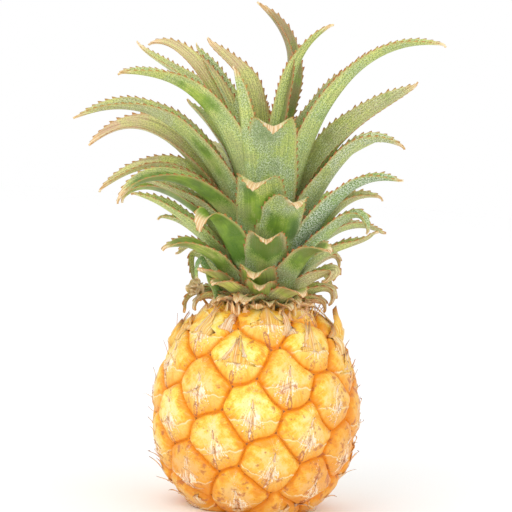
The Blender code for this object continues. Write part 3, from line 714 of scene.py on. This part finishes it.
def leafSheet(leaf, look, patch, dice):
    # a channelled blade along its curve, with a hooked tooth every few millimetres
    azimuth, root, slope, pull, reach, tip, tipSlope, tipPull, width, fold, taper, roll = leaf
    start, end = math.radians(slope), math.radians(tipSlope)
    first, last = np.array([stemRadius(root) * blade["rootDepth"], root]), np.array([reach, tip], float)
    second = first + pull * np.array([math.cos(start), math.sin(start)])
    third = last - tipPull * np.array([math.cos(end), math.sin(end)])
    t = np.linspace(0, 1, 401)[:, None]
    curve = (1 - t) ** 3 * first + 3 * (1 - t) ** 2 * t * second + 3 * (1 - t) * t ** 2 * third + t ** 3 * last
    if reach < blade["threadReach"] and tip < blade["threadTip"] and taper < blade["notchTaper"]:
        bend = end + math.radians(dice.choice((-70, -50, 40)))  # the tip dries to a thread that turns aside
        hook = np.linspace(0.02, 1, 40)[:, None] * dice.uniform(2.2, 4.0)
        onwards, asideways = [math.cos(end), math.sin(end)], [math.cos(bend), math.sin(bend)]
        curve = np.vstack([curve, last + hook * ((1 - hook / 8) * onwards + hook / 8 * asideways)])
    run = np.concatenate([[0], np.cumsum(np.linalg.norm(np.diff(curve, axis=0), axis=1))])
    teeth = max(int(run[-1] / blade["toothPitch"]), 6)
    toothRows = len(blade["saw"])
    rows = teeth * toothRows
    heading = np.gradient(curve, run, axis=0)
    heading /= np.linalg.norm(heading, axis=1)[:, None]

    bm, flat = gridMesh(blade["columns"], rows)
    column = np.rint((flat[:, 0] + 1) / 2 * blade["columns"]).astype(int)
    row = np.rint(flat[:, 1] * rows).astype(int)
    inner = (column - 1) / (blade["columns"] - 2) * 2 - 1  # the outermost columns carry the teeth
    toothed = np.abs(inner) > 1.001
    across = np.clip(inner, -1, 1)
    across = np.sign(across) * (1 - (1 - np.abs(across)) ** 1.25)
    share = row / rows
    tall = dice.uniform(0.55, 1.1, (2, teeth + 1))
    saw = np.array(blade["saw"])[row % toothRows] * tall[(across > 0).astype(int), row // toothRows]
    saw = saw * (share < blade["toothed"][1]) * (share > blade["toothed"][0])
    along = run[-1] * share + np.where(toothed, saw * 0.9, 0)

    spine = np.column_stack([np.interp(along, run, curve[:, i]) for i in (0, 1)])
    aim = np.column_stack([np.interp(along, run, heading[:, i]) for i in (0, 1)])
    turn = math.radians(azimuth)
    outward, flank = np.array([math.cos(turn), math.sin(turn), 0]), np.array([-math.sin(turn), math.cos(turn), 0])
    middle = spine[:, :1] * outward + spine[:, 1:] * np.array([0, 0, 1])
    ahead = aim[:, :1] * outward + aim[:, 1:] * np.array([0, 0, 1])
    face = np.cross(ahead, flank)
    rolled = math.radians(roll) * np.minimum(share / 0.8, 1) + math.radians(dice.normal(0, 2)) * share
    spread = flank * np.cos(rolled)[:, None] - face * np.sin(rolled)[:, None]
    face = face * np.cos(rolled)[:, None] + flank * np.sin(rolled)[:, None]

    growth = blade["rootWidth"] + (1 - blade["rootWidth"]) * np.sin(np.minimum(share / 0.25, 1) * math.pi / 2)
    half = np.maximum(width * growth * np.maximum(1 - share ** taper, 0) ** 0.85 / 2, blade["tipHalf"])
    half = half * (1 + 0.02 * np.sin(share * dice.uniform(20, 34) + dice.random() * 6))
    angle = math.radians(fold)
    rise = half * math.sin(angle) * (np.abs(across) ** 1.35 - 0.5)
    rise = rise + 0.25 * np.sin(share * 19 + across * 2.2 + dice.random() * 6) * np.abs(across) ** 2
    teethOut = np.where(toothed, 0.08 + blade["toothHeight"] * saw, 0) * np.minimum(half / 3, 1)
    sideways = across * half * math.cos(angle) + np.sign(across) * teethOut * math.cos(angle)
    rise = rise + teethOut * math.sin(angle)
    keel = blade["keel"] * (1 - 0.35 * share)
    thick = blade["margin"] + (keel - blade["margin"]) * (1 - across ** 2)
    thick = np.where(np.abs(across) > 0.999, blade["margin"] * 0.6, thick)
    thick = np.where(toothed, blade["tooth"], thick)
    points = middle + spread * sideways[:, None] + face * (rise + (flat[:, 2] - 0.5) * thick)[:, None]
    strip = np.column_stack([across * half, along + dice.random() * 200])
    tone, pink, scurf, dryTip = look
    away = np.abs(across)
    dry = smoothStep(0.95 - dryTip, 1.03 - dryTip, share)
    if taper > blade["notchTaper"]:  # the front leaves bend towards the eye and show their dried tips in a notch
        dry = smoothStep(0.80, 0.93, share + 0.10 * (0.4 - away))
    gloss = np.zeros(len(share))
    if patch:
        first, last, centre, reach = patch
        gloss = smoothStep(first - 0.1, first + 0.12, share) * (1 - smoothStep(last - 0.12, last + 0.1, share))
        gloss = gloss * (1 - smoothStep(reach - 0.35, reach + 0.1, np.abs(across - centre)))
    return shapeSheet(bm, points, strip, {
        "along": share, "across": away + np.where(toothed, 0.12 * np.minimum(saw * 2, 1), 0),
        "tone": tone, "pink": pink, "scurf": scurf, "dry": dry, "gloss": gloss})


def leafMaterial():
    # Scurfy bromeliad leaf: a tough green blade under fine white scales, red-brown teeth on its margins.
    # It gives the eye a dusty grey-green with parallel veins, and gloss only where the scales are rubbed off.
    made, add = newMaterial("scurfy_bromeliad_leaf")
    value = {name: add("Attribute", attribute_name=name).outputs["Fac"]
             for name in ("along", "across", "tone", "pink", "scurf", "dry", "gloss")}
    strip = add("UVMap", uv_map="strip")
    place = add("TexCoord").outputs["Object"]

    # veins run the length of the blade, 0.5 mm apart, under 0.6 mm scales; real scales are finer than
    # 0.3 mm and would not show, so they are drawn as coarse as this
    veinMap = add("Mapping", {0: strip, 3: (1.9, 0.03, 1)})
    veins = add("TexNoise", {0: veinMap, 2: 1.0, 3: 3, 4: 0.65}, noise_dimensions="2D")
    cloud = add("TexNoise", {0: place, 2: 95, 3: 3, 4: 0.55})  # 10 mm patches
    scaleMap = add("Mapping", {0: strip, 3: (1.9, 1.4, 1)})
    scales = add("TexNoise", {0: scaleMap, 2: 1.0, 3: 1, 4: 0.4}, noise_dimensions="2D")
    dots = add("TexVoronoi", {0: scaleMap, 2: 0.7}, voronoi_dimensions="2D")

    # the scales fall off in flakes, so a bare patch has a speckled edge
    fallen = add("Math", (add("Math", (scales, cloud)), 1.6, value["gloss"]), operation="MULTIPLY_ADD")
    gloss = add("MapRange", (fallen, 1.95, 2.2, 0.0, 1.0))

    shift = add("MapRange", (cloud, 0.3, 0.7, -0.34, 0.34))
    tone = add("Math", (value["tone"], shift))
    tone = add("Math", (tone, add("Math", (gloss, 0.36), operation="MULTIPLY")))
    green = add("ValToRGB", (tone,), stops=(
        (0.0, "#E6EA86"), (0.3, "#CCDC66"), (0.6, "#9ABA42"), (1.0, "#4C7A1C")))
    veinTone = add("MapRange", (veins, 0.38, 0.62, 0.5, 0.0))

    # scurf: dusty between, with bright scales, and dark dots where they fell off
    bare = add("MapRange", (gloss, 0.0, 0.8, 1.0, 0.05))
    kept = add("Math", (value["scurf"], bare), operation="MULTIPLY")
    dusty = add("MapRange", (cloud, 0.38, 0.60, 0.2, 1.05))
    dusty = add("Math", (dusty, kept), operation="MULTIPLY")
    veil = add("Math", (dusty, 0.45), operation="MULTIPLY")
    white = add("MapRange", (scales, 0.51, 0.60, 0.0, 0.85))
    white = add("Math", (white, dusty), operation="MULTIPLY")
    dark = add("MapRange", (dots, 0.34, 0.14, 0.0, 0.7))
    dark = add("Math", (dark, bare), operation="MULTIPLY")
    between = add("MapRange", (scales, 0.46, 0.34, 0.0, 0.65))
    between = add("Math", (between, dusty), operation="MULTIPLY")

    # each leaf's base is darker and greyer as painted shade, pinkish tan on pink leaves, and pink and tan streaks
    # run towards the tip
    onwards = add("Math", (value["along"], shift))
    shadedBase = add("MapRange", (onwards, 0.45, 0.05, 0.0, 0.62))
    shadedBaseColour = add("Mix", {0: value["pink"], 6: "#8C9E72", 7: "#E2BC98"}, data_type="RGBA")
    blush = add("MapRange", (onwards, 0.30, 0.85, 0.0, 0.85))
    blush = add("Math", (blush, value["pink"]), operation="MULTIPLY")
    blush = add("Math", (blush, add("MapRange", (gloss, 0.0, 1.0, 1.0, 0.45))), operation="MULTIPLY")
    tan = add("ValToRGB", (veins,), stops=((0.35, "#C4907A"), (0.5, "#E2BC9C"), (0.65, "#E8D8A0")))
    aged = add("MapRange", (value["tone"], 0.4, 0.9, 0.0, 0.75))
    tan = add("Mix", {0: aged, 6: tan, 7: "#93794C"}, data_type="RGBA")

    # pale margin, dried tip and brown teeth
    edge = add("MapRange", (value["across"], 0.88, 0.99, 0.0, 0.6))
    margin = add("Mix", {0: value["pink"], 6: "#CEC67E", 7: "#C68C68"}, data_type="RGBA")
    dry = add("Math", (value["dry"], 0.92), operation="MULTIPLY")
    straw = add("ValToRGB", (veins,), stops=((0.35, "#D2A06C"), (0.5, "#EFCB96"), (0.62, "#FBE8C8")))
    tooth = add("MapRange", (value["across"], 1.01, 1.06, 0.0, 0.95))
    spine = add("ValToRGB", (value["along"],), stops=((0.3, "#9C4A2C"), (0.6, "#B4602F"), (0.9, "#BE8A48")))

    colour = green
    for mask, tint in ((veinTone, "#64882A"), (veil, "#CAD6B4"), (white, "#E8F0E0"), (dark, "#4C7030"),
                       (between, "#587C40"), (shadedBase, shadedBaseColour), (blush, tan), (edge, margin), (dry, straw),
                       (tooth, spine)):
        colour = add("Mix", {0: mask, 6: colour, 7: tint}, data_type="RGBA")
    height = add("Math", (veins, add("Math", (scales, 0.4), operation="MULTIPLY")))
    bump = add("Bump", {"Height": height, "Strength": 0.3, "Distance": 0.0004})
    rough = add("MapRange", (dusty, 0.0, 0.6, 0.32, 0.72))
    shader = add("BsdfPrincipled", {
        "Base Color": colour, "Roughness": rough, "Normal": bump, "IOR": 1.45,
        "Subsurface Weight": 0.08, "Subsurface Radius": (0.0012, 0.002, 0.0006), "Subsurface Scale": 1.0})
    add("OutputMaterial", (shader,))
    return made


# how green (0 pale yellow-green, 1 dark), pink, scurfy and dry at the tip each leaf is
leafLooks = {
    "top_brown": (0.85, 1.0, 0.3, 0.06), "top_right": (0.15, 0.1, 0.4, 0.05), "top_pink": (0.2, 0.8, 0.4, 0.05),
    "top_front": (0.3, 0.1, 0.7, 0.05), "thin_left": (0.2, 0.05, 1.0, 0.02), "yellow": (0.0, 0.7, 0.3, 0.05),
    "back_thin": (0.3, 0.3, 0.7, 0.05), "big_left": (0.2, 0.1, 0.6, 0.03), "long_left": (0.35, 0.35, 0.7, 0.03),
    "pink_left": (0.3, 0.95, 0.6, 0.05), "mid_a": (0.3, 0.6, 0.7, 0.05), "mid_b": (0.45, 0.3, 0.4, 0.08),
    "broad_right": (0.0, 0.35, 0.8, 0.04), "long_right": (0.25, 0.1, 0.6, 0.03),
    "dark_right": (0.75, 0.0, 1.3, 0.03), "mid_right": (0.0, 0.1, 1.2, 0.05), "pinkish_right": (0.4, 0.5, 0.8, 0.05),
    "centre": (0.45, 0.1, 0.9, 0.0), "centre_left": (0.4, 0.1, 0.8, 0.0), "centre_right": (0.45, 0.1, 0.9, 0.0),
    "front_mid": (0.7, 0.5, 0.6, 0.0), "front_right": (0.55, 0.5, 0.7, 0.08), "front_left": (0.5, 0.1, 0.6, 0.12),
    "low_left": (0.4, 0.5, 0.5, 0.05), "front_low": (0.25, 0.8, 0.6, 0.0), "front_base": (0.15, 0.9, 0.7, 0.0),
    "low_front_left": (0.2, 0.9, 0.7, 0.05), "base_front_left": (0.15, 1.0, 0.8, 0.05),
    "base_front_right": (0.15, 1.0, 0.8, 0.05), "base_front": (0.2, 1.0, 0.8, 0.15),
    "hook_right_a": (0.25, 0.7, 0.7, 0.05), "hook_right_b": (0.25, 0.7, 0.7, 0.05),
    "hook_right_c": (0.25, 0.8, 0.7, 0.05), "hook_right_d": (0.3, 0.9, 0.7, 0.05),
    "curl_left": (0.5, 0.6, 0.7, 0.05), "curl_left_b": (0.5, 0.8, 0.7, 0.05),
}
# where the scales are rubbed off: from and to along a leaf, centre and reach across it
leafPatches = {
    "big_left": (0.56, 0.72, 0.1, 0.8), "centre_left": (0.42, 0.72, 0.0, 0.8),
    "centre_right": (0.44, 0.66, 0.0, 0.8),
    "front_left": (0.3, 0.95, 0.0, 1.2), "front_mid": (0.5, 0.9, 0.0, 0.9), "front_right": (0.46, 0.92, 0.0, 1.0),
    "front_low": (0.4, 0.9, 0.0, 1.1), "front_base": (0.4, 0.9, 0.0, 1.1), "low_left": (0.35, 0.9, 0.0, 1.1),
    "mid_b": (0.35, 0.9, 0.3, 1.0), "mid_c": (0.4, 0.95, 0.0, 1.2), "long_left": (0.3, 0.5, 0.6, 0.3),
    "low_front_left": (0.45, 0.9, 0.0, 1.1), "base_front_left": (0.5, 0.9, 0.0, 1.1),
    "base_front_right": (0.5, 0.9, 0.0, 1.1),
}
leafLook = leafMaterial()
leafDice = np.random.default_rng(3)
groups = {"leaves_" + side: [] for side in ("top", "left", "right", "front", "neck", "back")}
for name, leaf in {**leaves, **neckLeaves(), **hiddenLeaves()}.items():
    anyLook = [leafDice.uniform(*ends) for ends in ((0.2, 0.6), (0.1, 0.5), (0.4, 0.9))] + [0.02]
    look = leafLooks.get(name, anyLook)
    if name.startswith("ring_"):
        look = [leafDice.uniform(*ends) for ends in ((0.0, 0.45), (0.5, 1.0), (0.5, 1.0), (0.05, 0.4))]
    if name.startswith("back_") and name != "back_thin":
        group = "leaves_back"
    elif leaf[1] >= 130:
        group = "leaves_top"
    elif leaf[1] < 96:
        group = "leaves_neck"
    elif -130 < leaf[0] < -45:
        group = "leaves_front"
    else:
        group = "leaves_right" if abs(leaf[0]) < 90 else "leaves_left"
    groups[group].append(leafSheet(leaf, look, leafPatches.get(name), leafDice))
for group, sheets in groups.items():
    addPiece(group, joinSheets(group, sheets), "crown", leafLook)

# a leaf low on the left has dried and rolled up: its middle line to the side and up, in mm
curl = {"line": ((-18, 92), (-21, 98), (-24.5, 105), (-27.6, 109.2), (-29.6, 106.5), (-30.0, 103), (-29.8, 100.4),
                 (-29.6, 99), (-30.3, 97.4), (-29.9, 95.6), (-30.6, 94), (-30.2, 92.6)), "depth": -9,
        "widest": ((0, 0.3, 0.55, 0.66, 0.8, 0.92, 1), (3.0, 1.5, 0.8, 1.8, 3.9, 3.7, 1.6)),
        "crumpled": (0.55, 0.68), "dried": (0.5, 0.6)}


def curlSheet():
    bm, flat = gridMesh(4, 60)
    across, along, side = flat.T
    line = smoothOutline(curl["line"])
    run = np.linspace(0, 1, len(line))
    middle = np.column_stack([np.interp(along, run, line[:, i]) for i in (0, 1)])
    ahead = np.column_stack([np.interp(along, run, np.gradient(line[:, i])) for i in (0, 1)])
    ahead /= np.linalg.norm(ahead, axis=1)[:, None]
    half = np.interp(along, *curl["widest"]) * (1 + 0.14 * np.sin(along * 60 + across) * np.abs(across))
    off = side * 0.3 + 0.5 * across ** 2
    crumpled = smoothStep(*curl["crumpled"], along)
    off = off + across * half * (0.62 + 0.36 * crumpled)  # turned so that its flat shows
    depth = curl["depth"] - across * half * (0.78 - 0.7 * crumpled) - 2.0 * np.sin(along * 5)
    depth = depth + crumpled * (1.8 * np.sin(along * 62) + 0.9 * np.sin(along * 31 + across * 4))
    points = np.column_stack([middle[:, 0] - ahead[:, 1] * off, depth, middle[:, 1] + ahead[:, 0] * off])
    dry = smoothStep(*curl["dried"], along)
    return shapeSheet(bm, points, np.column_stack([across * half, along * 50]), {
        "along": 0.3 + 0.4 * along, "across": np.abs(across) * 0.95, "tone": 0.75 - 0.2 * along, "pink": 0.6 * dry,
        "scurf": 1 - 0.6 * (1 - dry), "dry": dry * (0.72 + 0.25 * np.sin(along * 90 + across * 3)), "gloss": 0.0})


addPiece("dried_curl", joinSheets("dried_curl", [curlSheet()]), "crown", leafLook)


def stemMesh():
    bm = bmesh.new()
    profile = [(0, blade["stem"][0][0])] + [(r, z) for z, r in blade["stem"]] + [(0, blade["stemTop"])]
    points = [bm.verts.new((r, 0, z)) for r, z in profile]
    edges = [bm.edges.new(pair) for pair in zip(points, points[1:])]
    bmesh.ops.spin(bm, geom=points + edges, axis=(0, 0, 1), cent=(0, 0, 0), angle=2 * math.pi, steps=48,
                   use_merge=True)
    bmesh.ops.remove_doubles(bm, verts=bm.verts, dist=0.001)
    bmesh.ops.recalc_face_normals(bm, faces=bm.faces)
    bmesh.ops.scale(bm, vec=(mm, mm, mm), verts=bm.verts)
    mesh = bpy.data.meshes.new("crown_stem")
    bm.to_mesh(mesh)
    bm.free()
    mesh.shade_smooth()
    return mesh


def stalkMaterial(name, pale, dark, grainSize):
    # Cut stalk fibre: pale, dry pith dotted with the ends of brown fibre bundles.
    made, add = newMaterial(name)
    place = add("TexCoord").outputs["Object"]
    bundles = add("TexNoise", {0: place, 2: grainSize, 3: 3, 4: 0.6})
    colour = add("ValToRGB", (bundles,), stops=((0.35, dark), (0.52, pale), (0.7, pale)))
    bump = add("Bump", {"Height": bundles, "Strength": 0.5, "Distance": 0.0005})
    shader = add("BsdfPrincipled", {"Base Color": colour, "Roughness": 0.85, "Normal": bump, "IOR": 1.45})
    add("OutputMaterial", (shader,))
    return made


stemLook = stalkMaterial("pale_leaf_base_fibre", "#C9CF9C", "#8E9A5C", 500)  # 2 mm fibres
addPiece("crown_stem", stemMesh(), "crown", stemLook)
stalkLook = stalkMaterial("cut_stalk_fibre", "#D9BE86", "#8A6236", 700)  # 1.4 mm bundles
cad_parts["cut_stalk"].material_slots[0].material = stalkLook
print("cut_stalk has its material")


# floor, light and camera
studio = {"target": (0, 0, 0.110), "distance": 1.0, "height": 4.0, "lean": 3.4, "aim": (-0.0039, 0.0006),
          "lens": 160.5, "floor": 3,
          # name, place, power and size
          "lamps": (("key", (-0.7, -1.1, 1.2), 6, 1.0), ("fill", (0.9, -1.2, 0.5), 2, 1.2))}


def makeStudio():
    bm = bmesh.new()
    bmesh.ops.create_circle(bm, cap_ends=True, segments=64, radius=studio["floor"])
    mesh = bpy.data.meshes.new("floor")
    bm.to_mesh(mesh)
    bm.free()
    floor = bpy.data.objects.new("floor", mesh)
    bpy.context.scene.collection.objects.link(floor)
    made, add = newMaterial("pale_studio_paper")
    place = add("TexCoord").outputs["Object"]
    paper = add("TexNoise", {0: place, 2: 900, 3: 2})
    colour = add("ValToRGB", (paper,), stops=((0.4, "#FDFDFD"), (0.6, "#FFFFFF")))
    shader = add("BsdfPrincipled", {"Base Color": colour, "Roughness": 0.9})
    add("OutputMaterial", (shader,))
    mesh.materials.append(made)

    world = bpy.data.worlds.new("studio")
    bpy.context.scene.world = world
    world.use_nodes = True
    colour, strength = world.node_tree.nodes["Background"].inputs[:2]
    colour.default_value, strength.default_value = linearColour("#FFFFFF"), 1.0
    bpy.context.scene.view_settings.view_transform = "Standard"

    for name, place, power, size in studio["lamps"]:
        lamp = bpy.data.lights.new(name, "AREA")
        lamp.energy, lamp.size = power, size
        made = bpy.data.objects.new(name, lamp)
        made.location = place
        made.rotation_euler = (Vector(studio["target"]) - Vector(place)).to_track_quat("-Z", "Y").to_euler()
        bpy.context.scene.collection.objects.link(made)

    # the object leans in the photo, so the camera is rolled and the object stands upright
    tilt, lean = math.radians(studio["height"]), math.radians(studio["lean"])
    forward = Vector((0, math.cos(tilt), -math.sin(tilt)))
    right, up = Vector((1, 0, 0)), Vector((0, math.sin(tilt), math.cos(tilt)))
    right, up = right * math.cos(lean) + up * math.sin(lean), up * math.cos(lean) - right * math.sin(lean)
    lens = bpy.data.cameras.new("camera")
    lens.lens, lens.sensor_width = studio["lens"], 36
    camera = bpy.data.objects.new("camera", lens)
    place = Vector(studio["target"]) - forward * studio["distance"]
    place = place + right * studio["aim"][0] + up * studio["aim"][1]
    turn = Matrix((right, up, -forward)).transposed()
    camera.matrix_world = Matrix.Translation(place) @ turn.to_4x4()
    bpy.context.scene.collection.objects.link(camera)
    bpy.context.scene.camera = camera


makeStudio()
print("studio made")
